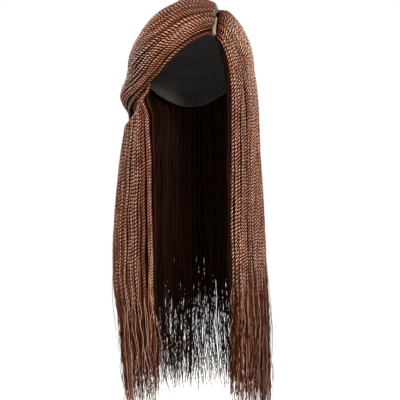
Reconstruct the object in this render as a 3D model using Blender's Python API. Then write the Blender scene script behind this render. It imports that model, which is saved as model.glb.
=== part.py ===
"""A long side-parted braid wig: stretch cap, lace parting and five falls of rope twists.

Metres, +Z up, the face looks along -Y. The origin is the crown of the head that wears it,
inside the top of the cap. Left and right are the wearer's, so left is +X.

Hair is laid out on a combing chart, a flat map of the head seen from above. The middle of the
chart is the crown, the circle of radius 1 is the head's widest level, and further out the
hair hangs straight down. Every fall is a thick sheet of locks combed along lines on the chart.
"""

import math

import bmesh
import bpy
from mathutils import Vector

MM = 0.001

# Head and cap
HEAD_HALF_WIDTH = 77 * MM
HEAD_HALF_DEPTH = 97 * MM
CROWN_RISE = 92 * MM
CAP_WALL = 2 * MM
CAP_COLUMNS = 40
CAP_ROWS = 8
SEAT_GAP = 0.5 * MM
SEAM_GAP = 0.8 * MM

# Hair over the cap, and how far it hangs below the head's widest level
HAIR_SIDE = 17 * MM
HAIR_FRONT_BACK = 15 * MM
HAIR_TOP = 11 * MM
SWEPT_THIN = 0.62
TEMPLE_THIN = 0.20
TEMPLE_FROM_RADIUS = 0.55
SWEPT_FULL_ACROSS = 0.35
FALL_DROP = 520 * MM
TIP_LENGTH = 70 * MM
TIP_SPREAD = 28 * MM

# Parting: a line over the cap, seen from above as four points, front to back, in shares of
# the cap's half width and half depth
PART_STEPS = 20
PART_LINE = ((0.424, -0.768), (0.487, -0.303), (0.487, 0.121), (0.418, 0.465))
LACE_HALF_WIDTH = 2.0 * MM
LACE_TIP_HALF_WIDTH = 4.4 * MM
LACE_TIP_LENGTH = 9 * MM
LACE_THICKNESS = 0.8 * MM
LACE_SHARE = 0.24
LACE_FADE = 0.1
LACE_ROWS = 24
LACE_ROWS_TOWARDS_TIP = 1.4
LACE_BEHIND_EDGE = 1.3 * MM

# How soon the hair swells to its full depth, from its roots and from the fringe's front edge
ROOT_RISE = 14 * MM
EDGE_RISE = 8 * MM

# Layers, as shares of the hair's depth over the cap
ROOT_BOTTOM = 0.03
INNER = 0.11
UNDER_TOP = 0.36
OVER_BOTTOM = 0.54
ROOT_TOP = 0.34
UNDER_ROOM = 0.25
LOCK_GROOVE = 0.30
TIP_THIN = 0.25
TIP_MIDDLE = 0.6

# Outline of the hanging hair. Drop is a share of FALL_DROP; left, right, front and back are
# shares of the widest level's half sizes; thick is a share of the hair's depth there, and
# the edges are the angles from the front at which the hair beside the face begins.
OUTLINE_COLUMNS = ("drop", "left", "right", "front", "back", "thick", "left_edge", "right_edge")
OUTLINE = (
    (0.000, 1.000, 0.965, 1.000, 1.000, 1.00, 38.5, 43.0),
    (0.040, 1.035, 1.010, 0.992, 1.000, 1.05, 38.2, 42.5),
    (0.080, 1.060, 1.090, 0.985, 1.000, 1.10, 38.0, 42.0),
    (0.128, 1.078, 0.992, 0.960, 0.990, 1.05, 37.5, 40.0),
    (0.165, 1.085, 1.020, 0.940, 0.980, 1.05, 37.0, 38.0),
    (0.265, 1.115, 1.105, 0.900, 0.960, 1.15, 35.5, 33.0),
    (0.420, 1.170, 1.190, 0.870, 0.940, 1.20, 33.5, 29.5),
    (0.535, 1.200, 1.220, 0.860, 0.930, 1.15, 33.5, 28.0),
    (0.635, 1.220, 1.200, 0.850, 0.920, 1.00, 33.0, 28.0),
    (0.720, 1.230, 1.115, 0.840, 0.900, 0.85, 32.5, 29.0),
    (0.800, 1.235, 1.078, 0.840, 0.890, 0.70, 32.0, 29.0),
    (0.880, 1.245, 1.045, 0.830, 0.880, 0.52, 31.5, 29.0),
    (1.000, 1.260, 0.980, 0.820, 0.860, 0.34, 31.5, 29.0),
)

# Combing lines. Along is where on the parting a line starts; one and two are the middle
# control points of its curve on the chart; end is its angle from the front once it hangs.
COMB_COLUMNS = ("along", "one_x", "one_y", "two_x", "two_y", "end")
COMB_LEFT = (
    (0.00, 0.455, -0.80, 0.66, -0.62, 36.6),
    (0.45, 0.660, -0.17, 1.08, -0.02, 92.0),
    (1.00, 0.245, 0.58, 0.09, 1.02, 179.88),
)
COMB_RIGHT = (
    (0.00, -0.440, -1.13, -1.65, -1.18, -106.0),
    (0.45, -0.330, -0.34, -0.86, -0.12, -140.0),
    (1.00, 0.170, 0.58, 0.05, 1.02, -179.88),
)
HANG_RADIUS = 1.60
HANG_RUN = 0.20
FREEING_RUN = 0.12

# The cap's rim: angle from the front in degrees, and share of the crown's rise below the crown
RIM = (
    (0, 0.44), (24, 0.48), (34, 0.56), (52, 0.78), (70, 1.12), (95, 1.00),
    (125, 1.32), (155, 1.56), (180, 1.62),
)

# The right front fall: it is rooted under the swept fringe and ends beside it
UNDER_ROOT_RADIUS = 0.82
UNDER_REAR_GAP = 1.6
UNDER_CLEAR = 0.03
UNDER_FULL = 0.14
EDGE_STEPS = 40
FRINGE_BARE_ANGLES = (30, 39)
FRINGE_COVER_ANGLES = (107, 118)
FRINGE_LIFT_RADII = (0.64, 0.76)
FRINGE_LAND_RADII = (1.57, 1.85)

# Where the sheets have a row of points: shares of a combing line, chart radii below it, and
# shares of the way down a tip
COMB_ROWS = (0.0, 0.03, 0.07, 0.13, 0.20, 0.28, 0.36, 0.44, 0.52, 0.60, 0.68, 0.76, 0.84, 0.92)
UNDER_ROW_STEP = 0.06
FALL_ROWS = (1.68, 1.85, 2.15, 2.45, 2.75, 3.10)
TIP_ROWS = (0.0, 0.35, 0.7, 1.0)
COLUMNS_A_LOCK = 3

# Which share of the parting each combed fall is rooted along, and in how many locks
LEFT_SPLIT = 0.50
RIGHT_SPLIT = 0.46
LEFT_FRONT_LOCKS = 8
LEFT_BACK_LOCKS = 6
FRINGE_LOCKS = 8
RIGHT_BACK_LOCKS = 5
UNDER_LOCKS = 6

HAIR_COLOUR = (0.20, 0.075, 0.045)
HAIR_ROUGHNESS = 0.5
NET_COLOUR = (0.012, 0.010, 0.010)
NET_ROUGHNESS = 0.9
LACE_COLOUR = (0.62, 0.48, 0.34)
LACE_ROUGHNESS = 0.8

CAP_HALF_WIDTH = HEAD_HALF_WIDTH + CAP_WALL
CAP_HALF_DEPTH = HEAD_HALF_DEPTH + CAP_WALL
WIDEST = CAP_HALF_WIDTH + HAIR_SIDE
DEEPEST = CAP_HALF_DEPTH + HAIR_FRONT_BACK
DROP_A_RADIUS = (CROWN_RISE + CAP_WALL + HAIR_TOP) * math.pi / 2
TIP_START = FALL_DROP - TIP_LENGTH - 2 * TIP_SPREAD


def mix(a, b, share):
    return a + (b - a) * share


def ease(value, low, high):
    """0 below low, 1 above high, and smooth between them."""
    share = min(1.0, max(0.0, (value - low) / (high - low)))
    return share * share * (3 - 2 * share)


def smooth_rows(rows, at):
    """The rows' values at their first column's value at, on one smooth curve through them."""
    at = min(max(at, rows[0][0]), rows[-1][0])
    i = next(k for k in range(1, len(rows)) if at <= rows[k][0] or k == len(rows) - 1)
    a, b = rows[i - 1], rows[i]
    before, after = rows[max(i - 2, 0)], rows[min(i + 1, len(rows) - 1)]
    step = b[0] - a[0]
    t = (at - a[0]) / step
    found = []
    for k in range(len(a)):
        slope_a = (b[k] - before[k]) / (b[0] - before[0]) * step
        slope_b = (after[k] - a[k]) / (after[0] - a[0]) * step
        found.append(
            a[k] * (1 + 2 * t) * (1 - t) ** 2
            + slope_a * t * (1 - t) ** 2
            + b[k] * t * t * (3 - 2 * t)
            + slope_b * t * t * (t - 1)
        )
    return found


def outline_at(radius):
    """The outline's columns at a chart radius, by name."""
    share = (radius - 1) * DROP_A_RADIUS / FALL_DROP
    return dict(zip(OUTLINE_COLUMNS, smooth_rows(OUTLINE, share)))


def polar(angle, radius):
    """A point on the chart, from its angle from the front in degrees and its radius."""
    return Vector((math.sin(math.radians(angle)), -math.cos(math.radians(angle)))) * radius


def angle_of(chart):
    return math.degrees(math.atan2(chart.x, -chart.y))


def chart_of_plan(plan):
    """The chart point of a point on the cap, from its place seen from above."""
    across = Vector((plan.x / CAP_HALF_WIDTH, plan.y / CAP_HALF_DEPTH))
    return across.normalized() * (math.asin(min(1.0, across.length)) / (math.pi / 2))


def cap_point(chart, out):
    """A point of the head's ellipsoid, out metres outside it. It goes on below the widest level."""
    turn = chart.length * math.pi / 2
    across = chart.normalized() * math.sin(turn)
    return Vector((
        (HEAD_HALF_WIDTH + out) * across.x,
        (HEAD_HALF_DEPTH + out) * across.y,
        (CROWN_RISE + out) * math.cos(turn) - CROWN_RISE,
    ))


def hair_point(chart, depth):
    """A point of the hair: depth is 0 on the cap and 1 at the hair's outer face."""
    if chart.length <= 1:
        return combed_point(chart, depth)
    return hanging_point(chart, depth)


def combed_point(chart, depth):
    """A point of the hair that lies on the head. It lies flatter where it is swept to the right."""
    turn = chart.length * math.pi / 2
    across = chart.normalized() * math.sin(turn)
    thinned = mix(SWEPT_THIN, TEMPLE_THIN, ease(chart.length, TEMPLE_FROM_RADIUS, 1.0))
    thinned *= ease(-across.x, 0.0, SWEPT_FULL_ACROSS)
    kept = depth - thinned * max(0.0, depth - INNER)
    return Vector((
        (CAP_HALF_WIDTH + kept * HAIR_SIDE) * across.x,
        (CAP_HALF_DEPTH + depth * HAIR_FRONT_BACK) * across.y,
        (CROWN_RISE + CAP_WALL + kept * HAIR_TOP) * math.cos(turn) - CROWN_RISE,
    ))


def hanging_point(chart, depth):
    """A point of the hair that hangs. Its inner face leaves the cap just below the widest level."""
    across = chart.normalized()
    row = outline_at(chart.length)
    thickness = (1 - INNER) * row["thick"]
    freed = ease(chart.length, 1.0, 1.0 + FREEING_RUN)
    share = (depth - INNER) / (1 - INNER)
    wide = WIDEST * row["left" if across.x > 0 else "right"]
    deep = DEEPEST * row["back" if across.y > 0 else "front"]
    wide_in = mix(CAP_HALF_WIDTH + INNER * HAIR_SIDE, wide - thickness * HAIR_SIDE, freed)
    deep_in = mix(CAP_HALF_DEPTH + INNER * HAIR_FRONT_BACK, deep - thickness * HAIR_FRONT_BACK, freed)
    return Vector((
        mix(wide_in, wide, share) * across.x,
        mix(deep_in, deep, share) * across.y,
        -CROWN_RISE - (chart.length - 1) * DROP_A_RADIUS,
    ))


def curve_point(points, t):
    """A point at t on the Bezier curve with these control points."""
    order = len(points) - 1
    total = points[0] * 0
    for k, point in enumerate(points):
        total = total + point * (math.comb(order, k) * t**k * (1 - t) ** (order - k))
    return total


def part_plan(along, aside=0.0):
    """The parting seen from above, at a share of its length and aside metres to its left."""
    knots = [Vector((x * CAP_HALF_WIDTH, y * CAP_HALF_DEPTH)) for x, y in PART_LINE]
    bend = [knots[0], inner_control(*knots), inner_control(*knots[::-1]), knots[3]]
    here = curve_point(bend, along)
    step = 0.5 / PART_STEPS
    ahead = curve_point(bend, along + step) - curve_point(bend, along - step)
    return here + Vector((ahead.y, -ahead.x)).normalized() * aside


def inner_control(first, second, third, last):
    """The control point next to the first, of the cubic that runs evenly through all four points."""
    return (second * 18 - first * 5 - third * 9 + last * 2) / 6


def part_length():
    points = [part_plan(k / PART_STEPS) for k in range(PART_STEPS + 1)]
    return sum((b - a).length for a, b in zip(points, points[1:]))


def lace_half_width(along):
    """Half the width of the lace that shows, which widens near its tip at the hairline."""
    from_tip = (along * part_length() - LACE_BEHIND_EDGE) / LACE_TIP_LENGTH
    from_tip = min(1.0, max(0.0, from_tip))
    bulge = mix(LACE_HALF_WIDTH / 3, LACE_TIP_HALF_WIDTH, math.sin(math.pi * from_tip))
    return mix(bulge, LACE_HALF_WIDTH, from_tip)


def root_aside(along):
    """How far the hair stands back from the middle of the parting."""
    lace = LACE_HALF_WIDTH * (1 - ease(along, LACE_SHARE, LACE_SHARE + LACE_FADE))
    tip = max(0.0, lace_half_width(along) - LACE_HALF_WIDTH)
    return lace + tip + SEAT_GAP


def comb_line(table, side, across, t):
    """The chart point at t on the combing line that starts at the share across of the parting."""
    row = dict(zip(COMB_COLUMNS, smooth_rows(table, across)))
    root = chart_of_plan(part_plan(across, side * root_aside(across)))
    control = [root, Vector((row["one_x"], row["one_y"])), Vector((row["two_x"], row["two_y"]))]
    hang = [polar(row["end"], HANG_RADIUS - HANG_RUN), polar(row["end"], HANG_RADIUS)]
    return curve_point(control + hang, t)


def hanging_angle(table, across, radius):
    """The angle from the front of a combing line where it hangs. The face edge drifts inwards."""
    end = smooth_rows(table, across)[-1]
    if end < 0:
        return end
    edge, start, rear = outline_at(radius)["left_edge"], table[0][-1], table[-1][-1]
    return rear - (rear - end) * (rear - edge) / (rear - start)


def edge_radius(line, angle):
    """The chart radius at which a line on the right side crosses an angle from the front."""
    for a, b in zip(line, line[1:]):
        if angle_of(b) <= -angle < angle_of(a):
            share = (angle_of(a) + angle) / (angle_of(a) - angle_of(b))
            return mix(a.length, b.length, share)
    return HANG_RADIUS


def under_face(chart):
    """The depth of a combed fall's inner face: on the head, or over the right front fall."""
    angle, radius = -angle_of(chart), chart.length
    over = ease(angle, *FRINGE_BARE_ANGLES) * (1 - ease(angle, *FRINGE_COVER_ANGLES))
    over *= ease(radius, *FRINGE_LIFT_RADII) * (1 - ease(radius, *FRINGE_LAND_RADII))
    return mix(INNER, OVER_BOTTOM, over)


def closed_sheet(name, outer, inner):
    """One closed solid between two grids of points with the same rows and columns."""
    mesh = bmesh.new()
    faces = [[[mesh.verts.new(p) for p in row] for row in grid] for grid in (outer, inner)]
    rows, columns = len(outer), len(outer[0])
    for grid, turned in zip(faces, (False, True)):
        for i in range(rows - 1):
            for j in range(columns - 1):
                quad = [grid[i][j], grid[i][j + 1], grid[i + 1][j + 1], grid[i + 1][j]]
                mesh.faces.new(quad[::-1] if turned else quad)
    border = [(0, j) for j in range(columns)]
    border += [(i, columns - 1) for i in range(1, rows)]
    border += [(rows - 1, j) for j in range(columns - 2, -1, -1)]
    border += [(i, 0) for i in range(rows - 2, 0, -1)]
    for (i, j), (k, m) in zip(border, border[1:] + border[:1]):
        mesh.faces.new([faces[0][i][j], faces[1][i][j], faces[1][k][m], faces[0][k][m]])
    bmesh.ops.recalc_face_normals(mesh, faces=mesh.faces)
    return finished(name, mesh)


def finished(name, mesh):
    data = bpy.data.meshes.new(name)
    mesh.to_mesh(data)
    mesh.free()
    data.shade_smooth()
    data.set_sharp_from_angle(angle=math.radians(50))
    obj = bpy.data.objects.new(name, data)
    bpy.context.scene.collection.objects.link(obj)
    return obj


def lock_columns(low, high, locks):
    """For each column of a sheet of locks: its place across, and 0 in a groove or 1 on a lock."""
    count = locks * COLUMNS_A_LOCK
    return [
        (mix(low, high, k / count), 0.0 if k % COLUMNS_A_LOCK == 0 else 1.0, k // COLUMNS_A_LOCK)
        for k in range(count + 1)
    ]


def tip_radius(crest, lock, share):
    """The chart radius part of the way down a tip. Locks end unevenly, and grooves higher up."""
    uneven = 0.5 + 0.5 * math.sin(2.4 * lock + 0.6 * math.sin(5.1 * lock))
    hem = FALL_DROP - mix(TIP_LENGTH + TIP_SPREAD, TIP_SPREAD * uneven, crest)
    return 1 + mix(TIP_START, hem, share) / DROP_A_RADIUS


def fall(name, top, hung, columns):
    """A fall of locks, from its top rows of points down to its tips.

    top has a function of across for each row above the free length, and hung is a function of
    across and radius. Both give a chart point with the hair's inner and outer depth there.
    """
    rows = [(place, 0.0) for place in top]
    rows += [(radius, 0.0) for radius in FALL_ROWS if radius < 1 + TIP_START / DROP_A_RADIUS]
    rows += [(None, share) for share in TIP_ROWS]
    outer, inner = [], []
    for place, tip_share in rows:
        outer.append([])
        inner.append([])
        for across, crest, lock in columns:
            if callable(place):
                chart, low, high = place(across)
            else:
                chart, low, high = hung(across, place or tip_radius(crest, lock, tip_share))
            high -= LOCK_GROOVE * (1 - crest) * (high - low)
            middle = mix(low, high, TIP_MIDDLE)
            thin = mix(1.0, TIP_THIN, tip_share)
            outer[-1].append(hair_point(chart, mix(middle, high, thin)))
            inner[-1].append(hair_point(chart, mix(middle, low, thin)))
    return closed_sheet(name, outer, inner)


def combed_fall(name, side, low_end, high_end, locks):
    """A fall combed from a stretch of the parting, to the left where side is 1 and right at -1."""
    table = COMB_LEFT if side > 0 else COMB_RIGHT
    is_fringe = side < 0 and low_end == 0.0

    def combed(t, across):
        chart = comb_line(table, side, across, t)
        run = (chart - comb_line(table, side, across, 0.0)).length * DROP_A_RADIUS
        risen = ease(run, -ROOT_RISE / 3, ROOT_RISE)
        if is_fringe:
            risen *= ease(across * part_length(), -EDGE_RISE / 3, EDGE_RISE)
        low = under_face(chart)
        high = mix(max(ROOT_TOP, low + UNDER_ROOM), 1.0, risen)
        return chart, mix(ROOT_BOTTOM, low, ease(run, 0.0, ROOT_RISE)), high

    def hung(across, radius):
        chart = polar(hanging_angle(table, across, radius), radius)
        return chart, under_face(chart), 1.0

    top = [lambda across, t=t: combed(t, across) for t in COMB_ROWS]
    top.append(lambda across: hung(across, HANG_RADIUS))
    return fall(name, top, hung, lock_columns(low_end, high_end, locks))


def right_front_fall():
    """The fall beside the face under the fringe: thin beneath it, and full below its lower edge."""
    fringe_edge = [comb_line(COMB_RIGHT, -1, 0.0, k / EDGE_STEPS) for k in range(EDGE_STEPS + 1)]
    rear = -COMB_RIGHT[0][-1] - UNDER_REAR_GAP

    def hung(across, radius):
        angle = mix(outline_at(radius)["right_edge"], rear, across)
        edge = edge_radius(fringe_edge, angle)
        high = mix(UNDER_TOP, 1.0, ease(radius, edge + UNDER_CLEAR, edge + UNDER_FULL))
        seated = ease((radius - UNDER_ROOT_RADIUS) * DROP_A_RADIUS, 0.0, ROOT_RISE)
        return polar(-angle, radius), mix(ROOT_BOTTOM, INNER, seated), high

    count = round((HANG_RADIUS - UNDER_ROOT_RADIUS) / UNDER_ROW_STEP)
    radii = [mix(UNDER_ROOT_RADIUS, HANG_RADIUS, k / count) for k in range(count + 1)]
    top = [lambda across, radius=radius: hung(across, radius) for radius in radii]
    return fall("right_front_fall", top, hung, lock_columns(0.0, 1.0, UNDER_LOCKS))


def wig_cap():
    """The cap: a dome of one wall, open at the face, the ears and the neck."""
    full_rim = [*RIM, *[(360 - angle, share) for angle, share in RIM[-2::-1]]]
    mesh = bmesh.new()
    grids = []
    for out in (CAP_WALL, 0.0):
        crown = mesh.verts.new(cap_point(Vector((1e-9, 0)), out))
        rings = []
        for i in range(1, CAP_ROWS + 1):
            ring = []
            for j in range(CAP_COLUMNS):
                angle = 360 * j / CAP_COLUMNS
                below = smooth_rows(full_rim, angle)[1]
                radius = math.acos(1 - below) / (math.pi / 2) * i / CAP_ROWS
                ring.append(mesh.verts.new(cap_point(polar(angle, radius), out)))
            rings.append(ring)
        grids.append((crown, rings))
    for k in range(CAP_COLUMNS):
        m = (k + 1) % CAP_COLUMNS
        for crown, rings in grids:
            mesh.faces.new([crown, rings[0][k], rings[0][m]])
            for a, b in zip(rings, rings[1:]):
                mesh.faces.new([a[k], b[k], b[m], a[m]])
        outside, inside = grids[0][1][-1], grids[1][1][-1]
        mesh.faces.new([outside[k], inside[k], inside[m], outside[m]])
    bmesh.ops.recalc_face_normals(mesh, faces=mesh.faces)
    return finished("wig_cap", mesh)


def lace_part():
    """The pale lace that shows along the parting, lying on the cap."""
    front = LACE_BEHIND_EDGE / part_length()
    outer, inner = [], []
    for k in range(LACE_ROWS + 1):
        along = mix(front, LACE_SHARE, (k / LACE_ROWS) ** LACE_ROWS_TOWARDS_TIP)
        half = lace_half_width(along)
        outer.append([])
        inner.append([])
        for aside in (-half, 0.0, half):
            chart = chart_of_plan(part_plan(along, aside))
            outer[-1].append(cap_point(chart, CAP_WALL + SEAT_GAP + LACE_THICKNESS))
            inner[-1].append(cap_point(chart, CAP_WALL + SEAT_GAP))
    return closed_sheet("lace_part", outer, inner)


def material(name, colour, roughness):
    made = bpy.data.materials.new(name)
    made.use_nodes = True
    shader = made.node_tree.nodes["Principled BSDF"]
    shader.inputs["Base Color"].default_value = (*colour, 1)
    shader.inputs["Roughness"].default_value = roughness
    return made


def main():
    for obj in list(bpy.data.objects):
        bpy.data.objects.remove(obj)
    seam = 0.5 * SEAM_GAP / part_length()
    falls = (
        combed_fall("left_front_fall", 1, 0.0, LEFT_SPLIT - seam, LEFT_FRONT_LOCKS),
        combed_fall("left_back_fall", 1, LEFT_SPLIT + seam, 1.0, LEFT_BACK_LOCKS),
        combed_fall("swept_fringe", -1, 0.0, RIGHT_SPLIT - seam, FRINGE_LOCKS),
        combed_fall("right_back_fall", -1, RIGHT_SPLIT + seam, 1.0, RIGHT_BACK_LOCKS),
        right_front_fall(),
    )
    for piece in falls:
        twists = material(piece.name + "_twists", HAIR_COLOUR, HAIR_ROUGHNESS)
        piece.data.materials.append(twists)
    wig_cap().data.materials.append(material("black_stretch_net", NET_COLOUR, NET_ROUGHNESS))
    lace_part().data.materials.append(material("pale_lace", LACE_COLOUR, LACE_ROUGHNESS))


main()
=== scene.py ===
"""The looks of the braid wig: two-strand rope twists, their loosened ends, the lace and the cap.

Metres, +Z up, the face looks along -Y. Left is the wearer's left, +X. Every twist follows a
combing line on the same chart as the solids: the chart is a flat map of the head seen from above,
its middle is the crown, radius 1 is the head's widest level, and further out the hair hangs down.
"""

import math

import bpy
import numpy as np
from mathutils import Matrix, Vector

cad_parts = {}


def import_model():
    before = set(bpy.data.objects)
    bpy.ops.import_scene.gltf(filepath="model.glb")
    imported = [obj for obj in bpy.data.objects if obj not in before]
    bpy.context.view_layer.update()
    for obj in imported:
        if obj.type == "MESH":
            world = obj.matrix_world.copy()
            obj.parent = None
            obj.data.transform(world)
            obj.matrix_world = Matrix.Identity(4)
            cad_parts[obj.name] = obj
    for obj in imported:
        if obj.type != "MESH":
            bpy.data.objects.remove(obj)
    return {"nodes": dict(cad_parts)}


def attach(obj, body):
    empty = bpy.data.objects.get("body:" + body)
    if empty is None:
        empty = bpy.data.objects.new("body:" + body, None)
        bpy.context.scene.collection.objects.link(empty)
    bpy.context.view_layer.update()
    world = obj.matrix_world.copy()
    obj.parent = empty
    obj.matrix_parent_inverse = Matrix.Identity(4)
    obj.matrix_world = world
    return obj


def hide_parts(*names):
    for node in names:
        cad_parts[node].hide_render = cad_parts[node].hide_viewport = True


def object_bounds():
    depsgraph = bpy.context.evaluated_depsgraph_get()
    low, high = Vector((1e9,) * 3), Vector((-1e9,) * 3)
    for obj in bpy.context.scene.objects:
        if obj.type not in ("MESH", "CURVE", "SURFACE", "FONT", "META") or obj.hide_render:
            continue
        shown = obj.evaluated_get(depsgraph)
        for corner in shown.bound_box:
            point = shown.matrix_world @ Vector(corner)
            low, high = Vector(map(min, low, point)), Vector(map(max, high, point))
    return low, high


MM = 0.001

# Head, cap and hair depth, as in the solids
HEAD_HALF_WIDTH = 77 * MM
HEAD_HALF_DEPTH = 97 * MM
CROWN_RISE = 92 * MM
CAP_WALL = 2 * MM
SEAT_GAP = 0.5 * MM
HAIR_SIDE = 17 * MM
HAIR_FRONT_BACK = 15 * MM
HAIR_TOP = 11 * MM
FALL_DROP = 520 * MM

# Shares of the hair's depth missing on the swept side: at the crown, and at the temple, which starts
# at this chart radius. They are reached this far across
SWEPT_THIN = 0.62
TEMPLE_THIN = 0.20
TEMPLE_FROM_RADIUS = 0.55
SWEPT_FULL_ACROSS = 0.35

# Parting and lace. The line's points are shares of the cap's half sizes, from the hairline back
PART_LINE = np.array(((0.424, -0.768), (0.487, -0.303), (0.487, 0.121), (0.418, 0.465)))
LACE_HALF_WIDTH = 2.0 * MM
LACE_TIP_HALF_WIDTH = 4.4 * MM
LACE_POINT_HALF_WIDTH = LACE_HALF_WIDTH / 3
LACE_TIP_LENGTH = 9 * MM
LACE_SHARE = 0.24
LACE_FADE = 0.1
LACE_BEHIND_EDGE = 1.3 * MM
PART_SAMPLES = 21

# The hair rises to its full depth over these lengths from its roots and from the fringe's edge. The
# rise starts this share of them ahead
ROOT_RISE = 14 * MM
EDGE_RISE = 8 * MM
RISE_LEAD = 1 / 3

# Layers, as shares of the hair's depth over the cap
INNER = 0.11
UNDER_TOP = 0.36
OVER_BOTTOM = 0.54
ROOT_TOP = 0.34
UNDER_ROOM = 0.25

# Outline of the hanging hair: drop is a share of FALL_DROP, the next four are shares of the
# widest level's half sizes, thick is a share of the hair's depth, edges are degrees from the front
OUTLINE_COLUMNS = ("drop", "left", "right", "front", "back", "thick", "left_edge", "right_edge")
OUTLINE = (
    (0.000, 1.000, 0.965, 1.000, 1.000, 1.00, 38.5, 43.0),
    (0.040, 1.035, 1.010, 0.992, 1.000, 1.05, 38.2, 42.5),
    (0.080, 1.060, 1.090, 0.985, 1.000, 1.10, 38.0, 42.0),
    (0.128, 1.078, 0.992, 0.960, 0.990, 1.05, 37.5, 40.0),
    (0.165, 1.085, 1.020, 0.940, 0.980, 1.05, 37.0, 38.0),
    (0.265, 1.115, 1.105, 0.900, 0.960, 1.15, 35.5, 33.0),
    (0.420, 1.170, 1.190, 0.870, 0.940, 1.20, 33.5, 29.5),
    (0.535, 1.200, 1.220, 0.860, 0.930, 1.15, 33.5, 28.0),
    (0.635, 1.220, 1.200, 0.850, 0.920, 1.00, 33.0, 28.0),
    (0.720, 1.230, 1.115, 0.840, 0.900, 0.85, 32.5, 29.0),
    (0.800, 1.235, 1.078, 0.840, 0.890, 0.70, 32.0, 29.0),
    (0.880, 1.245, 1.045, 0.830, 0.880, 0.52, 31.5, 29.0),
    (1.000, 1.260, 0.980, 0.820, 0.860, 0.34, 31.5, 29.0),
)

# Combing lines: where on the parting they start, two control points, and the angle they hang at
COMB_LEFT = (
    (0.00, 0.455, -0.80, 0.66, -0.62, 36.6),
    (0.45, 0.660, -0.17, 1.08, -0.02, 92.0),
    (1.00, 0.245, 0.58, 0.09, 1.02, 179.88),
)
COMB_RIGHT = (
    (0.00, -0.440, -1.13, -1.65, -1.18, -106.0),
    (0.45, -0.330, -0.34, -0.86, -0.12, -140.0),
    (1.00, 0.170, 0.58, 0.05, 1.02, -179.88),
)

# Chart radii and runs: where combed hair hangs straight, how it frees itself from the head, where
# the right front fall is rooted and comes out from under the fringe, and where the fringe lies over
# it. Angles are degrees from the front
HANG_RADIUS = 1.60
HANG_RUN = 0.20
FREEING_RUN = 0.12
UNDER_ROOT_RADIUS = 0.82
UNDER_REAR_GAP = 1.6
UNDER_CLEAR = 0.03
UNDER_FULL = 0.14
FRINGE_BARE_ANGLES = (30, 39)
FRINGE_COVER_ANGLES = (107, 118)
FRINGE_LIFT_RADII = (0.64, 0.76)
FRINGE_LAND_RADII = (1.57, 1.85)

CAP_HALF_WIDTH = HEAD_HALF_WIDTH + CAP_WALL
CAP_HALF_DEPTH = HEAD_HALF_DEPTH + CAP_WALL
WIDEST = CAP_HALF_WIDTH + HAIR_SIDE
DEEPEST = CAP_HALF_DEPTH + HAIR_FRONT_BACK
DROP_A_RADIUS = (CROWN_RISE + CAP_WALL + HAIR_TOP) * math.pi / 2
HEM_RADIUS = 1 + FALL_DROP / DROP_A_RADIUS
COMB_SAMPLES = 120
FALL_SAMPLES = 120

# The twists: two strands wound round each other. A crest is 1 on a strand's back and 0 between
# Crests paint a highlight on the strands' backs and painted shade in the creases between
TWIST_RADIUS = 2.1 * MM
TWIST_PITCH = 10.0 * MM
SECTION = np.array((
    (1.0, 0.0), (0.48, 0.58), (-0.48, 0.58), (-1.0, 0.0), (-0.48, -0.58), (0.48, -0.58),
))
SECTION_CREST = np.array((1.0, 0.0, 0.0, 1.0, 0.0, 0.0))
PLAIN_SECTION = np.array(((1.0, 0.0), (0.0, 0.55), (-1.0, 0.0), (0.0, -0.55)))
PLAIN_CREST = np.array((1.0, 0.0, 1.0, 0.0))
# SIDE_SHADE: painted shade on a strand's sides, where it faces away from outwards, between twists
SIDE_SHADE = 0.15

# How one twist differs from the next: shares of its pitch, size and place, and for each of its
# waves the lengths in metres and the size. The shared wave moves neighbours alike
PITCH_SPREAD = (0.86, 1.16)
SIZE_SPREAD = (0.88, 1.1)
PLACE_SPREAD = 0.3
SWAY_WAVES, OWN_SWAY = (0.05, 0.3), 0.9 * MM
RISE_WAVES, OWN_RISE = (0.05, 0.2), 1.4 * MM
TONE_WAVES, TONE_SPREAD = (0.012, 0.10), 0.65
SHARED_WAVES, SHARED_SWAY = (0.07, 0.40), 0.9 * MM
SHARED_DRIFT = (4, 14)

# The root end of a twist: its size and tone, and how far along they and its waves become full
ROOT_SIZE = 0.62
ROOT_GROWS_OVER = 60 * MM
# ROOT_SHADED_TONE and ROOT_SHADE paint shade on a twist's first stretch from the root
ROOT_SHADED_TONE = 0.3
ROOT_SHADE = 14 * MM
ROOT_STILL = 100 * MM

# The rest of a twist: sizes, and the shares of the drop between which they are reached. The point,
# and the wider steps between rings near the end, go by shares of the twist's own length. The rear of
# a fall lies between these places across it. Depths are kept inside the hair
HEAD_SIZE = 1.14
HEAD_TO_FALL = (-0.1, 0.1)
TIP_SIZE = 0.35
TIP_THINS = (0.80, 1.0)
POINT_SIZE = 0.3
POINT_FROM = 0.965
END_STEP = 1.9
END_STEP_FROM = (0.68, 0.9)
REAR_PLACES = (0.4, 0.9)
INSIDE_CLEAR = 0.8 * MM
LEAST_DEEP = 0.7

# A loosened end: how quickly it loosens, how much it unwinds and sways, and how far its crest light
# fades
LOOSENS_OVER = 0.2
LOOSE_UNWOUND = 0.5
LOOSE_SWAY = 3
LOOSE_CREST = 0.6
LOOSE_FADE = 0.8

# Loose strands: where they start beside where the twists loosen, the mean and spread of how deep
# they lie, how far they stray, and their waves as for the twists
WISP_SECTION = np.array(((1.0, 0.0), (-0.5, 0.87), (-0.5, -0.87)))
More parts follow.
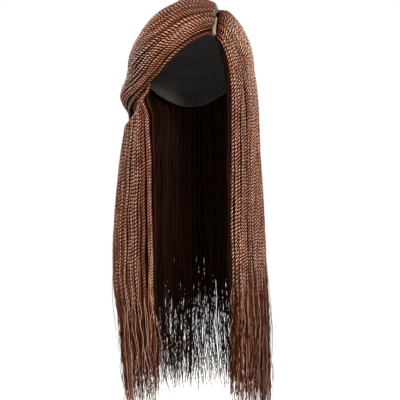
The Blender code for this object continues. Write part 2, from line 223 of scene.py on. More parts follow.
# WISP_CREST: the painted crest light all along a loose strand
WISP_CREST = 0.8
WISP_RADII = (0.26 * MM, 0.55 * MM)
WISP_STEP = 9.5 * MM
WISP_STARTS = (-0.06, 0.14)
WISP_FREES_OVER = 120 * MM
WISP_BELOW = (1.6 * MM, 3.0 * MM)
WISP_ASIDE = 4 * MM
WISP_SWAY_WAVES, WISP_SWAY = (0.03, 0.12), 6 * MM
WISP_RISE_WAVES, WISP_RISE = (0.03, 0.09), 1.6 * MM
WISP_INSIDE_CLEAR = 0.5 * MM
WISP_LEAST_DEEP = 0.7 * MM
WISP_OUT = 7 * MM
WISP_POINT = 40 * MM
WISP_POINT_SIZE = 0.5
WISP_DARKNESS = 2.2

# The falls: the side of the parting (0 lies under the fringe) and the stretch of it, the twists in
# the outer row, the shares of the drop where they loosen and are thin, how thin, the share of its
# length at which a twist may end near the front and near the rear, the tone left at the ends, and
# the loose strands to a twist
FALL_COLUMNS = (
    "name", "side", "low", "high", "twists", "loose_from", "thin_to", "thin", "ends", "rear_ends",
    "end_tone", "wisps",
)
FALLS = (
    ("left_front_fall", 1, 0.0, 0.50, 26, 0.52, 0.80, 0.28, 0.88, 0.80, 0.40, 11),
    ("left_back_fall", 1, 0.50, 1.0, 34, 0.47, 0.78, 0.18, 0.92, 0.92, 1.0, 5),
    ("swept_fringe", -1, 0.0, 0.46, 24, 0.48, 0.78, 0.20, 0.82, 0.84, 0.8, 5),
    ("right_back_fall", -1, 0.46, 1.0, 25, 0.47, 0.78, 0.18, 0.92, 0.92, 1.0, 5),
    ("right_front_fall", 0, 0.0, 1.0, 28, 0.56, 0.82, 0.26, 0.80, 0.72, 0.55, 9),
)

# Rows of twists, outermost first: the piece they belong to, whether it has the full section, how
# many to one of the fall's twists, how far the row is shifted as a share of a step, metres below
# the surface, size, rings a pitch, whether they are wound, and the range of their tones
ROW_COLUMNS = ("piece", "full", "share", "shift", "below", "size", "rings", "wound", "tones")
# The inner rows' low tones are painted shade: they lie in the shadow of the rows over them
ROWS = (
    ("outer_twists", True, 1.0, 0.0, 0.0, 1.0, 5.2, 1, (0.26, 0.96)),
    ("inner_twists", False, 1.0, 0.5, 4.2 * MM, 1.2, 2.2, 1, (0.0, 0.25)),
    ("inner_twists", False, 1.2, 0.2, 7.5 * MM, 1.4, 1.0, 0, (0.0, 0.05)),
    ("inner_twists", False, 1.3, 0.7, 12.0 * MM, 1.4, 1.0, 0, (0.0, 0.05)),
)

# Hair colours by tone: on the crests high up and low down, and painted shade in the creases
# Their top stops are painted highlights, and their near-black low stops painted shade for inner rows
UPPER_HAIR_LIT_AND_SHADED = (
    (0.0, (0.02, 0.004, 0.001)), (0.2, (0.21, 0.068, 0.033)),
    (0.6, (0.58, 0.255, 0.155)), (1.0, (0.92, 0.54, 0.40)),
)
LOWER_HAIR_LIT_AND_SHADED = (
    (0.0, (0.015, 0.003, 0.001)), (0.2, (0.11, 0.021, 0.006)),
    (0.5, (0.34, 0.098, 0.040)), (0.75, (1.0, 0.62, 0.46)),
)
CREASE_SHADE_HAIR = ((0.0, (0.004, 0.0007, 0.0002)), (0.3, (0.020, 0.0030, 0.0006)))
UPPER_TO_LOWER = (-0.28, -0.46)
CREST_POWER = 1.8
CROWN_HEIGHTS = (-0.045, 0.012)
CROWN_SHADE = 0.45

# Fibres in the hair: stretch round and along a twist, noise that counts, and what it changes
FIBRE_STRETCH = (16.0, 0.5, 1.0)
FIBRE_NOISE = (0.3, 0.7)
FIBRE_SHADES = (0.65, 1.3)
FIBRE_ROUGHNESS = (0.34, 0.58)
FIBRE_HEIGHT = 0.4 * MM
HAIR_SPECULAR = 0.10
HAIR_SPECULAR_TINT = (1.0, 0.65, 0.5, 1)

# Nets: name, cells a metre, where threads begin and are full, the colours of holes and threads, the
# strength and height of the threads' bump, and roughness
CAP_NET = (
    "black_net", 700.0, (0.25, 0.55), (0.006, 0.005, 0.005), (0.055, 0.048, 0.045),
    0.7, 0.3 * MM, 0.85,
)
LACE_NET = (
    "pale_lace", 1300.0, (0.2, 0.5), (0.09, 0.055, 0.038), (0.22, 0.145, 0.105),
    0.6, 0.15 * MM, 0.8,
)

# A pale round floor that fades out, and a surround by height of view: white with a grey ceiling
FLOOR_BELOW = 0.12
FLOOR_RADIUS = 1.6
FLOOR_SIDES = 64
FLOOR_FADES = (0.3, 0.95 * FLOOR_RADIUS)
FLOOR_COLOUR = (0.9, 0.9, 0.9, 1)
FLOOR_ROUGHNESS = 0.9
DOME = ((0.0, (1.0, 1.0, 1.0)), (0.35, (1.0, 1.0, 1.0)), (0.7, (0.3, 0.3, 0.3)))

# Lights: name, place, what it shines on, width, watts and colour
LIGHTS = (
    ("key", (0.9, -2.0, 1.0), (0, 0, -0.25), 0.6, 110, (1.0, 0.95, 0.90)),
    ("fill", (-1.4, -1.6, 0.4), (0, 0, -0.25), 0.7, 45, (1.0, 0.96, 0.92)),
    ("top", (0.0, 0.3, 1.7), (0, 0, 0.0), 0.8, 8, (1.0, 0.98, 0.96)),
    ("back_left", (1.5, 1.8, 0.7), (0, 0, -0.25), 0.8, 45, (1.0, 0.96, 0.92)),
    ("back_right", (-1.5, 1.8, 0.5), (0, 0, -0.25), 0.8, 35, (1.0, 0.96, 0.92)),
)

# The camera stands where the photograph's stood
CAMERA_TARGET = Vector((0.015, 0.0, -0.2886))
CAMERA_AWAY = 1.9
CAMERA_UP = math.radians(5)
FRAME_WIDTH = 0.600
SENSOR_WIDTH = 36
CLIP = (0.05, 100)

rng = np.random.default_rng(7)


def mix(a, b, share):
    return a + (b - a) * share


def ease(value, low, high):
    """0 below low, 1 above high, and smooth between them."""
    share = np.clip((value - low) / (high - low), 0.0, 1.0)
    return share * share * (3 - 2 * share)


def smooth_rows(rows, at):
    """The rows' values at their first column's values at, on one smooth curve through them."""
    rows = np.array(rows, float)
    at = np.clip(at, rows[0, 0], rows[-1, 0])
    i = np.clip(np.searchsorted(rows[:, 0], at), 1, len(rows) - 1)
    a, b = rows[i - 1], rows[i]
    before, after = rows[np.maximum(i - 2, 0)], rows[np.minimum(i + 1, len(rows) - 1)]
    step = b[..., :1] - a[..., :1]
    t = (at[..., None] - a[..., :1]) / step
    slope_a = (b - before) / (b[..., :1] - before[..., :1]) * step
    slope_b = (after - a) / (after[..., :1] - a[..., :1]) * step
    start = a * (1 + 2 * t) * (1 - t) ** 2 + slope_a * t * (1 - t) ** 2
    return start + b * t * t * (3 - 2 * t) + slope_b * t * t * (t - 1)


def outline_at(radius):
    """The outline's columns at chart radii, by name."""
    found = smooth_rows(OUTLINE, (radius - 1) * DROP_A_RADIUS / FALL_DROP)
    return {name: found[..., k] for k, name in enumerate(OUTLINE_COLUMNS)}


def polar(angle, radius):
    """Chart points, from their angles from the front in degrees and their radii."""
    turn = np.radians(angle)
    return np.stack((np.sin(turn) * radius, -np.cos(turn) * radius), -1)


def angle_of(chart):
    return np.degrees(np.arctan2(chart[..., 0], -chart[..., 1]))


def hair_points(chart, depth):
    """Points of the hair: depth is 0 on the cap and 1 at the hair's outer face."""
    radius = np.linalg.norm(chart, axis=-1)
    across, aback = chart[..., 0] / radius, chart[..., 1] / radius
    turn = np.minimum(radius, 1) * math.pi / 2
    thinned = mix(SWEPT_THIN, TEMPLE_THIN, ease(radius, TEMPLE_FROM_RADIUS, 1.0))
    thinned = thinned * ease(-across * np.sin(turn), 0.0, SWEPT_FULL_ACROSS)
    kept = depth - thinned * np.maximum(0.0, depth - INNER)
    combed = np.stack((
        (CAP_HALF_WIDTH + kept * HAIR_SIDE) * across * np.sin(turn),
        (CAP_HALF_DEPTH + depth * HAIR_FRONT_BACK) * aback * np.sin(turn),
        (CROWN_RISE + CAP_WALL + kept * HAIR_TOP) * np.cos(turn) - CROWN_RISE,
    ), -1)
    row = outline_at(radius)
    thickness = (1 - INNER) * row["thick"]
    freed = ease(radius, 1.0, 1.0 + FREEING_RUN)
    share = (depth - INNER) / (1 - INNER)
    wide = WIDEST * np.where(across > 0, row["left"], row["right"])
    deep = DEEPEST * np.where(aback > 0, row["back"], row["front"])
    wide_in = mix(CAP_HALF_WIDTH + INNER * HAIR_SIDE, wide - thickness * HAIR_SIDE, freed)
    deep_in = mix(CAP_HALF_DEPTH + INNER * HAIR_FRONT_BACK, deep - thickness * HAIR_FRONT_BACK, freed)
    hanging = np.stack((
        mix(wide_in, wide, share) * across,
        mix(deep_in, deep, share) * aback,
        -CROWN_RISE - (radius - 1) * DROP_A_RADIUS,
    ), -1)
    return np.where((radius <= 1)[..., None], combed, hanging)


def bezier(points, t):
    """Points at t on the Bezier curve with these control points."""
    order = len(points) - 1
    return sum(
        point * (math.comb(order, k) * t**k * (1 - t) ** (order - k))
        for k, point in enumerate(points)
    )


def inner_control(first, second, third, last):
    """The control point next to the first, of the cubic that runs evenly through all four points."""
    return (second * 18 - first * 5 - third * 9 + last * 2) / 6


def part_plan(along, aside=0.0):
    """The parting seen from above, at shares of its length and aside metres to its left."""
    along = np.asarray(along, float)[..., None]
    knots = PART_LINE * (CAP_HALF_WIDTH, CAP_HALF_DEPTH)
    bend = [knots[0], inner_control(*knots), inner_control(*knots[::-1]), knots[3]]
    step = 0.025
    ahead = bezier(bend, along + step) - bezier(bend, along - step)
    square = np.stack((ahead[..., 1], -ahead[..., 0]), -1)
    square /= np.linalg.norm(square, axis=-1, keepdims=True)
    return bezier(bend, along) + square * np.asarray(aside, float)[..., None]


def chart_of_plan(plan):
    """Chart points of points on the cap, from their places seen from above."""
    across = plan / (CAP_HALF_WIDTH, CAP_HALF_DEPTH)
    length = np.linalg.norm(across, axis=-1, keepdims=True)
    return across / length * np.arcsin(np.minimum(1.0, length)) / (math.pi / 2)


def length_of(points):
    return float(np.linalg.norm(np.diff(points, axis=0), axis=1).sum())


PART_LENGTH = length_of(part_plan(np.linspace(0, 1, PART_SAMPLES)))


def lace_half_width(along):
    """Half the width of the lace that shows, which widens near its tip at the hairline."""
    from_tip = np.clip((along * PART_LENGTH - LACE_BEHIND_EDGE) / LACE_TIP_LENGTH, 0, 1)
    bulge = mix(LACE_POINT_HALF_WIDTH, LACE_TIP_HALF_WIDTH, np.sin(math.pi * from_tip))
    return mix(bulge, LACE_HALF_WIDTH, from_tip)


def root_aside(along):
    """How far the hair stands back from the middle of the parting."""
    lace = LACE_HALF_WIDTH * (1 - ease(along, LACE_SHARE, LACE_SHARE + LACE_FADE))
    return lace + np.maximum(0.0, lace_half_width(along) - LACE_HALF_WIDTH) + SEAT_GAP


def comb_rows(side, across):
    """The combing table's values at the shares across of the parting."""
    return smooth_rows(COMB_LEFT if side > 0 else COMB_RIGHT, across)


def comb_line(side, across, t):
    """Chart points at t on the combing lines that start at the shares across of the parting."""
    row = comb_rows(side, across)
    root = chart_of_plan(part_plan(across, side * root_aside(across)))
    end = row[..., 5]
    control = [root, row[..., 1:3], row[..., 3:5]]
    control += [polar(end, HANG_RADIUS - HANG_RUN), polar(end, HANG_RADIUS)]
    return bezier([point[:, None, :] for point in control], t[None, :, None])


def under_face(chart):
    """The depth of a combed fall's inner face: on the head, or over the right front fall."""
    angle, radius = -angle_of(chart), np.linalg.norm(chart, axis=-1)
    over = ease(angle, *FRINGE_BARE_ANGLES) * (1 - ease(angle, *FRINGE_COVER_ANGLES))
    over = over * ease(radius, *FRINGE_LIFT_RADII) * (1 - ease(radius, *FRINGE_LAND_RADII))
    return mix(INNER, OVER_BOTTOM, over)


def combed_paths(side, across, is_fringe):
    """Chart points from root to hem for each share across, with the hair's inner and outer depth."""
    t = np.linspace(0, 1, COMB_SAMPLES)
    top = comb_line(side, across, t)
    run = np.linalg.norm(top - top[:, :1], axis=-1) * DROP_A_RADIUS
    risen = ease(run, -ROOT_RISE * RISE_LEAD, ROOT_RISE)
    if is_fringe:
        edge = ease(across * PART_LENGTH, -EDGE_RISE * RISE_LEAD, EDGE_RISE)
        risen = risen * edge[:, None]
    low = under_face(top)
    high = mix(np.maximum(ROOT_TOP, low + UNDER_ROOM), 1.0, risen)
    radius = np.linspace(HANG_RADIUS, HEM_RADIUS, FALL_SAMPLES)[None, 1:]
    end = comb_rows(side, across)[:, 5:]
    if side > 0:
        edge = outline_at(radius)["left_edge"]
        start, rear = COMB_LEFT[0][5], COMB_LEFT[-1][5]
        end = rear - (rear - end) * (rear - edge) / (rear - start)
    hung = polar(end + 0 * radius, radius)
    chart = np.concatenate((top, hung), 1)
    low = np.concatenate((low, under_face(hung)), 1)
    high = np.concatenate((high, np.ones(hung.shape[:2])), 1)
    return chart, low, high


def under_paths(across):
    """The same for the hair beside the face on the right, which starts under the fringe."""
    line = comb_line(-1, np.zeros(1), np.linspace(0, 1, COMB_SAMPLES))[0]
    radius = np.linspace(UNDER_ROOT_RADIUS, HEM_RADIUS, COMB_SAMPLES + FALL_SAMPLES)[None, :]
    rear = -COMB_RIGHT[0][5] - UNDER_REAR_GAP
    angle = mix(outline_at(radius)["right_edge"], rear, across[:, None])
    edge = np.interp(angle, -angle_of(line), np.linalg.norm(line, axis=-1))
    high = mix(UNDER_TOP, 1.0, ease(radius, edge + UNDER_CLEAR, edge + UNDER_FULL))
    return polar(-angle, radius), np.full(angle.shape, INNER), high


def wander(waves, size):
    """A random curve of about this size over arc length: three sines with lengths from waves."""
    wave = rng.uniform(*waves, 3)
    start = rng.uniform(0, 2 * math.pi, 3)
    weight = rng.uniform(0.4, 1.0, 3) * size / 3
    sines = list(zip(wave, start, weight))
    return lambda s: sum(w * np.sin(2 * math.pi * s / v + p) for v, p, w in sines)


def shared_sway():
    """A sideways wave over a fall, alike for neighbouring twists and still at the fall's edges."""
    wave = rng.uniform(*SHARED_WAVES, 5)
    start = rng.uniform(0, 2 * math.pi, 5)
    drift = rng.uniform(*SHARED_DRIFT, 5) * rng.choice((-1, 1), 5)
    sines = list(zip(wave, start, drift))

    def sway(s, place):
        moved = sum(np.sin(2 * math.pi * s / v + p + d * place) for v, p, d in sines)
        return moved * math.sin(math.pi * place) * SHARED_SWAY

    return sway


def unit(vectors):
    return vectors / np.maximum(np.linalg.norm(vectors, axis=-1, keepdims=True), 1e-9)


def stations(length, steps):
    """Arc lengths from 0 to length, spaced by steps, a function of the share of the length."""
    found = [0.0]
    while found[-1] < length:
        found.append(found[-1] + steps(found[-1] / length))
    return np.array(found) * length / found[-1]


def sideways(points, out):
    """Directions across a line of points, square to outwards."""
    return np.cross(unit(np.gradient(points, axis=0)), out)


class Rope:
    """A path down the hair's surface, with which way is outwards and how deep the hair is."""

    def __init__(self, place, chart, low, high):
        self.place = place
        outer, inner = hair_points(chart, high), hair_points(chart, low)
        self.surface = outer
        self.depth = np.linalg.norm(outer - inner, axis=-1)
        self.out = unit(outer - inner)
        steps = np.linalg.norm(np.diff(outer, axis=0), axis=1)
        self.arc = np.concatenate(([0.0], np.cumsum(steps)))
        self.length = self.arc[-1]

    def at(self, s):
        """Surface points, outward directions and hair depth at arc lengths s."""
        surface, out = (
            np.stack([np.interp(s, self.arc, column) for column in values.T], -1)
            for values in (self.surface, self.out)
        )
        return surface, unit(out), np.interp(s, self.arc, self.depth)


class Strands:
    """Many tubes gathered into one mesh, with UVs round and along them, shaded tones and crest light.
    """

    def __init__(self):
        self.points, self.quads, self.caps = [], [], []
        self.uvs, self.tones, self.crest_lights = [], [], []
        self.count = 0

    def add(self, centre, out, section, crest_light, radius, turn, s, tone):
        """A tube along centre. Its section, scaled by radius, is turned by turn round the tangent.

        s is the length along it for the UVs. Painted shade weakens crests that don't face outwards.
        """
        ahead = unit(np.gradient(centre, axis=0))
        out = unit(out - (out * ahead).sum(1, keepdims=True) * ahead)
        side = np.cross(ahead, out)
        cos, sin = np.cos(turn)[:, None], np.sin(turn)[:, None]
        x = section[:, 0] * cos - section[:, 1] * sin
        y = section[:, 0] * sin + section[:, 1] * cos
        ring = side[:, None, :] * x[..., None] + out[:, None, :] * y[..., None]
        points = centre[:, None, :] + ring * radius[:, None, None]
        rings, sides = points.shape[:2]
        k, j = np.meshgrid(np.arange(rings - 1), np.arange(sides), indexing="ij")
        k, j = k.ravel(), j.ravel()
        m = (j + 1) % sides
        quad = np.stack((k * sides + j, k * sides + m, (k + 1) * sides + m, (k + 1) * sides + j), 1)
        u = np.stack((j, j + 1, j + 1, j), 1) / sides
        v = np.stack((s[k], s[k], s[k + 1], s[k + 1]), 1)
        self.points.append(points.reshape(-1, 3))
        self.quads.append(quad + self.count)
        self.uvs.append(np.stack((u, v), -1).reshape(-1, 2))
        self.tones.append(np.repeat(np.broadcast_to(tone, rings), sides))
        # Painted shade: crest light is weaker on the sides that face in, between neighbouring strands
        side_shading = mix(SIDE_SHADE, 1.0, np.maximum(0.0, y / np.hypot(x, y)))
        self.crest_lights.append((np.broadcast_to(crest_light, (rings, sides)) * side_shading).ravel())
        ends = np.arange(sides) + self.count
        self.caps += [ends[::-1], ends + (rings - 1) * sides]
        self.count += rings * sides

    def mesh(self, name):
        quads = np.concatenate(self.quads)
        corners = np.concatenate([quads.ravel(), *self.caps]).astype(np.int32)
        sizes = np.concatenate((np.full(len(quads), 4), [len(cap) for cap in self.caps]))
        starts = np.concatenate(([0], np.cumsum(sizes)[:-1])).astype(np.int32)
        mesh = bpy.data.meshes.new(name)
        mesh.vertices.add(self.count)
        mesh.vertices.foreach_set("co", np.concatenate(self.points).ravel())
        mesh.loops.add(len(corners))
        mesh.loops.foreach_set("vertex_index", corners)
        mesh.polygons.add(len(starts))
        mesh.polygons.foreach_set("loop_start", starts)
        uv = np.zeros((len(corners), 2))
        uv[: quads.size] = np.concatenate(self.uvs)
        mesh.uv_layers.new(name="around_along").data.foreach_set("uv", uv.ravel())
        for label, values in (("tone", self.tones), ("crest_light", self.crest_lights)):
            found = mesh.attributes.new(label, "FLOAT", "POINT")
            found.data.foreach_set("value", np.concatenate(values).astype(np.float32))
        mesh.update(calc_edges=True)
        mesh.validate()
        mesh.shade_smooth()
        return mesh


def show(name, strands, material, node):
    """Puts gathered strands in the scene in place of a CAD node."""
    obj = bpy.data.objects.new(name, strands.mesh(name))
    bpy.context.scene.collection.objects.link(obj)
    obj.data.materials.append(material)
    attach(obj, "root")
    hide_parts(node)


def twist_size(fall, share, s):
    """A twist's size along it: thin at the root, full on the head, thin again towards the tip."""
    root = mix(ROOT_SIZE, 1.0, ease(s, 0.0, ROOT_GROWS_OVER))
    on_head = mix(HEAD_SIZE, 1.0, ease(share, *HEAD_TO_FALL))
    thinned = mix(1.0, fall["thin"], ease(share, fall["loose_from"], fall["thin_to"]))
    return root * on_head * thinned * mix(1.0, TIP_SIZE, ease(share, *TIP_THINS))


def drop_share(points):
    """The share of the hanging length that each point has come down."""
    return (-CROWN_RISE - points[:, 2]) / FALL_DROP


def lay_twist(strands, fall, rope, row):
    """One twist of a row, which ends a little above the hem or at it."""
    tone = rng.uniform(*row["tones"])
    section, crest_light = (SECTION, SECTION_CREST) if row["full"] else (PLAIN_SECTION, PLAIN_CREST)
    pitch = TWIST_PITCH * rng.uniform(*PITCH_SPREAD)
    ends = mix(fall["ends"], fall["rear_ends"], ease(rope.place, *REAR_PLACES))
    length = rope.length * rng.uniform(ends, 1.0)
    step = pitch / row["rings"]
    s = stations(length, lambda share: step * mix(1.0, END_STEP, ease(share, *END_STEP_FROM)))
    surface, out, depth = rope.at(s)
    share = drop_share(surface)
    loose = ease(share, fall["loose_from"], fall["loose_from"] + LOOSENS_OVER)
    size = TWIST_RADIUS * row["size"] * rng.uniform(*SIZE_SPREAD) * twist_size(fall, share, s)
    size = size * mix(1.0, POINT_SIZE, ease(s / length, POINT_FROM, 1.0))
    own_sway = wander(SWAY_WAVES, OWN_SWAY)(s) * (1 + LOOSE_SWAY * loose)
    sway = (fall["sway"](s, rope.place) + own_sway) * ease(s, 0.0, ROOT_STILL)
    below = np.maximum(0.0, row["below"] + wander(RISE_WAVES, OWN_RISE)(s))
    deep = np.minimum(size + below, np.maximum(depth - INSIDE_CLEAR, LEAST_DEEP * size))
    centre = surface - out * deep[:, None] + sideways(surface, out) * sway[:, None]
    wound = np.cumsum(np.gradient(s) * (1 - LOOSE_UNWOUND * loose)) * 2 * math.pi / pitch
    turn = rng.uniform(0, 2 * math.pi) - row["wound"] * wound
    # Tones with painted shade: darker at the root
    tones = tone * mix(1.0, fall["end_tone"], loose) * mix(ROOT_SHADED_TONE, 1.0, ease(s, 0.0, ROOT_SHADE))
    tones = np.clip(tones * (1 + wander(TONE_WAVES, TONE_SPREAD)(s)), 0.0, 1.0)
    crest_lights = mix(crest_light, LOOSE_CREST, LOOSE_FADE * loose[:, None])
    strands.add(centre, out, section, crest_lights, size, turn, s / TWIST_PITCH, tones)


def lay_wisp(strands, fall, rope):
    """One thin loose strand that leaves a twist low down and hangs beside it in small waves."""
    below = rng.normal(*WISP_BELOW)
    tone = rng.uniform(0, 1) ** WISP_DARKNESS
    loose_from = 1 - (1 - fall["loose_from"]) * FALL_DROP / rope.length
    start = (loose_from + rng.uniform(*WISP_STARTS)) * rope.length
    finish = rng.uniform(fall["ends"], 1.0) * rope.length
    s = np.linspace(start, finish, int((finish - start) / WISP_STEP) + 2)
    surface, out, depth = rope.at(s)
    free = ease(s, start, start + WISP_FREES_OVER)
    aside = wander(WISP_SWAY_WAVES, WISP_SWAY)(s) + rng.normal(0, WISP_ASIDE)
    sway = fall["sway"](s, rope.place) + aside * free
    rise = wander(WISP_RISE_WAVES, WISP_RISE)(s) * free
    deepest = np.maximum(depth - WISP_INSIDE_CLEAR, WISP_LEAST_DEEP)
    deep = np.clip(mix(TWIST_RADIUS, below, free) + rise, -WISP_OUT, deepest)
    centre = surface - out * deep[:, None] + sideways(surface, out) * sway[:, None]
    point = mix(1.0, WISP_POINT_SIZE, ease(s, finish - WISP_POINT, finish))
    size = rng.uniform(*WISP_RADII) * point
    strands.add(centre, out, WISP_SECTION, WISP_CREST, size, 0 * s, s / TWIST_PITCH, tone)


def fall_ropes(fall, across):
    """A path for each of these shares across the parting."""
    if fall["side"] == 0:
        paths = under_paths(across)
    else:
        paths = combed_paths(fall["side"], across, fall["name"] == "swept_fringe")
    places = (across - fall["low"]) / (fall["high"] - fall["low"])
    return [Rope(*row) for row in zip(places, *paths)]


def spread(fall, row):
    """Shares of the parting for a row's twists, from edge to edge with a little unevenness."""
    count = round(row["share"] * fall["twists"])
    places = np.arange(count) + row["shift"] + rng.uniform(-PLACE_SPREAD, PLACE_SPREAD, count)
    return mix(fall["low"], fall["high"], np.clip(places / (count - 1), 0.0, 1.0))


def make_fall(fall, material):
    """Rows of twists, one behind another, and the loose strands of their ends."""
    fall["sway"] = shared_sway()
    gathered = {piece: Strands() for piece in ("outer_twists", "inner_twists", "loose_ends")}
    for values in ROWS:
        row = dict(zip(ROW_COLUMNS, values))
        ropes = fall_ropes(fall, spread(fall, row))
        for rope in ropes:
            lay_twist(gathered[row["piece"]], fall, rope, row)
        for rope in ropes * (fall["wisps"] if row["full"] else 1):
            lay_wisp(gathered["loose_ends"], fall, rope)
    for piece, strands in gathered.items():
        show(fall["name"] + "_" + piece, strands, material, fall["name"])


def set_inputs(node, inputs):
    """Links sockets to a node's inputs, or sets values on them, by name or number."""
    for key, value in inputs.items():
        socket = node.inputs[key]
        if isinstance(value, bpy.types.NodeSocket):
            node.id_data.links.new(value, socket)
        else:
            socket.default_value = value


def node_maker(owner):
    """A short way to add nodes to a material or world: make(kind, {input: value}, setting=...)."""

    def make(kind, inputs=None, **settings):
        node = owner.node_tree.nodes.new(kind)
        for name, value in settings.items():
            setattr(node, name, value)
        set_inputs(node, inputs or {})
        return node

    return make


def ramp(make, value, stops):
    """Colours at places from 0 to 1, picked by value."""
    node = make("ShaderNodeValToRGB", {"Fac": value})
    found = node.color_ramp.elements
    while len(found) < len(stops):
        found.new(0.5)
    for element, (place, colour) in zip(found, stops):
        element.position = place
        element.color = (*colour, 1)
    return node.outputs["Color"]


def remap(make, value, source, target, curve="LINEAR"):
    """Moves value from one range to another, and holds it there."""
    inputs = {"Value": value, "From Min": source[0], "From Max": source[1]}
    inputs.update({"To Min": target[0], "To Max": target[1]})
    return make("ShaderNodeMapRange", inputs, interpolation_type=curve).outputs["Result"]


def blend(make, share, first, second):
    """The first colour at share 0 and the second at 1."""
    inputs = {"Factor": share, "A": first, "B": second}
    return make("ShaderNodeMix", inputs, data_type="RGBA").outputs["Result"]


def new_material(name):
    material = bpy.data.materials.new(name)
    material.use_nodes = True
    return material, node_maker(material), material.node_tree.nodes["Principled BSDF"]


def hair_material():
    """Brown synthetic hair: painted shade in the creases, darker at the crown, redder towards the
    tips.
    """
    material, make, shader = new_material("brown_twists")
    tone = make("ShaderNodeAttribute", attribute_name="tone").outputs["Fac"]
    crest_light = make("ShaderNodeAttribute", attribute_name="crest_light").outputs["Fac"]
    place = make("ShaderNodeNewGeometry").outputs["Position"]
    height = make("ShaderNodeSeparateXYZ", {"Vector": place}).outputs["Z"]
    around = make("ShaderNodeUVMap", uv_map="around_along").outputs["UV"]
    along = make("ShaderNodeMapping", {"Vector": around, "Scale": FIBRE_STRETCH}).outputs["Vector"]
    fibre = make("ShaderNodeTexNoise", {"Vector": along, "Scale": 3.0, "Detail": 3.0}).outputs["Fac"]
    low = remap(make, height, UPPER_TO_LOWER, (0.0, 1.0))
    # Colours by tone, with painted highlights at the top tones and painted shade at the lowest
    colour = blend(make, low, ramp(make, tone, UPPER_HAIR_LIT_AND_SHADED), ramp(make, tone, LOWER_HAIR_LIT_AND_SHADED))
    grain = remap(make, fibre, FIBRE_NOISE, FIBRE_SHADES)
    crown = remap(make, height, CROWN_HEIGHTS, (1.0, CROWN_SHADE), "SMOOTHSTEP")
    shade = make("ShaderNodeMath", {0: grain, 1: crown}, operation="MULTIPLY").outputs[0]
    shaded = make("ShaderNodeVectorMath", {0: colour, "Scale": shade}, operation="SCALE")
    # Painted light: crests get the hair's colour with painted highlights, creases a painted shade
    crest_light_curve = make("ShaderNodeMath", {0: crest_light, 1: CREST_POWER}, operation="POWER").outputs[0]
    crease_shade = ramp(make, tone, CREASE_SHADE_HAIR)
    bump = make("ShaderNodeBump", {"Height": fibre, "Strength": 0.5, "Distance": FIBRE_HEIGHT})
    set_inputs(shader, {
        "Base Color": blend(make, crest_light_curve, crease_shade, shaded.outputs["Vector"]),
        "Roughness": remap(make, fibre, (0.0, 1.0), FIBRE_ROUGHNESS),
        "Normal": bump.outputs["Normal"],
        "Specular IOR Level": HAIR_SPECULAR,
        "Specular Tint": HAIR_SPECULAR_TINT,
    })
    return material


def net_material(name, cells, thread, hole_colour, thread_colour, strength, height, roughness):
    """A fine net: dark holes between paler threads that stand a little proud."""
    material, make, shader = new_material(name)
    place = make("ShaderNodeNewGeometry").outputs["Position"]
    away = make("ShaderNodeTexVoronoi", {"Vector": place, "Scale": cells}).outputs["Distance"]
    threads = remap(make, away, thread, (0.0, 1.0))
    bump = make("ShaderNodeBump", {"Height": threads, "Strength": strength, "Distance": height})
    set_inputs(shader, {
        "Base Color": ramp(make, threads, ((0.0, hole_colour), (1.0, thread_colour))),
        "Normal": bump.outputs["Normal"],
        "Roughness": roughness,
    })
    return material


def dress_node(frame, node, material):
    """Gives a CAD node that stays in view its finished material."""
    mesh = frame["nodes"][node].data
    mesh.materials.clear()
    mesh.materials.append(material)


def add_light(name, place, target, size, power, colour):
    data = bpy.data.lights.new(name, "AREA")
    data.shape = "DISK"
    data.size = size
    data.energy = power
    data.color = colour
    light = bpy.data.objects.new(name, data)
    light.location = place
    light.rotation_euler = (Vector(target) - Vector(place)).to_track_quat("-Z", "Y").to_euler()
    bpy.context.scene.collection.objects.link(light)


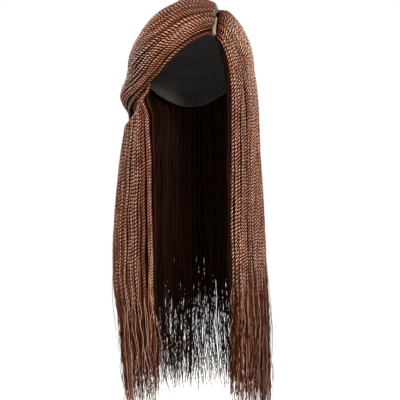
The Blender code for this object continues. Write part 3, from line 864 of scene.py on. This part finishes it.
def floor_material():
    """Pale grey-white paint that fades out towards the floor's rim."""
    material, make, shader = new_material("pale_floor")
    place = make("ShaderNodeNewGeometry").outputs["Position"]
    flat = make("ShaderNodeVectorMath", {0: place, 1: (1, 1, 0)}, operation="MULTIPLY")
    away = make("ShaderNodeVectorMath", {0: flat.outputs["Vector"]}, operation="LENGTH")
    set_inputs(shader, {
        "Alpha": remap(make, away.outputs["Value"], FLOOR_FADES, (1.0, 0.0), "SMOOTHSTEP"),
        "Base Color": FLOOR_COLOUR,
        "Roughness": FLOOR_ROUGHNESS,
    })
    return material


def studio(low):
    """A pale round floor that fades into a white surround, greyer overhead, and soft lights."""
    mesh = bpy.data.meshes.new("floor")
    rim = polar(np.linspace(0, 360, FLOOR_SIDES, endpoint=False), FLOOR_RADIUS)
    mesh.from_pydata([(x, y, low[2] - FLOOR_BELOW) for x, y in rim], [], [range(FLOOR_SIDES)])
    floor = bpy.data.objects.new("floor", mesh)
    bpy.context.scene.collection.objects.link(floor)
    mesh.materials.append(floor_material())
    world = bpy.data.worlds.new("studio")
    bpy.context.scene.world = world
    world.use_nodes = True
    make = node_maker(world)
    view = make("ShaderNodeTexCoord").outputs["Generated"]
    up = make("ShaderNodeSeparateXYZ", {"Vector": view}).outputs["Z"]
    set_inputs(world.node_tree.nodes["Background"], {"Color": ramp(make, up, DOME)})
    for light in LIGHTS:
        add_light(*light)


def photo_camera():
    data = bpy.data.cameras.new("camera")
    data.sensor_width = SENSOR_WIDTH
    data.lens = SENSOR_WIDTH * CAMERA_AWAY / FRAME_WIDTH
    data.clip_start, data.clip_end = CLIP
    camera = bpy.data.objects.new("camera", data)
    back = Vector((0, -math.cos(CAMERA_UP), math.sin(CAMERA_UP)))
    camera.location = CAMERA_TARGET + back * CAMERA_AWAY
    camera.rotation_euler = (math.pi / 2 - CAMERA_UP, 0, 0)
    bpy.context.scene.collection.objects.link(camera)
    bpy.context.scene.camera = camera


def main():
    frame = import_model()
    cad_box = [list(corner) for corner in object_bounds()]
    photo_camera()
    studio(cad_box[0])
    hair = hair_material()
    for row in FALLS:
        make_fall(dict(zip(FALL_COLUMNS, row)), hair)
    dress_node(frame, "wig_cap", net_material(*CAP_NET))
    dress_node(frame, "lace_part", net_material(*LACE_NET))
    bpy.context.scene.view_settings.view_transform = "Standard"


main()
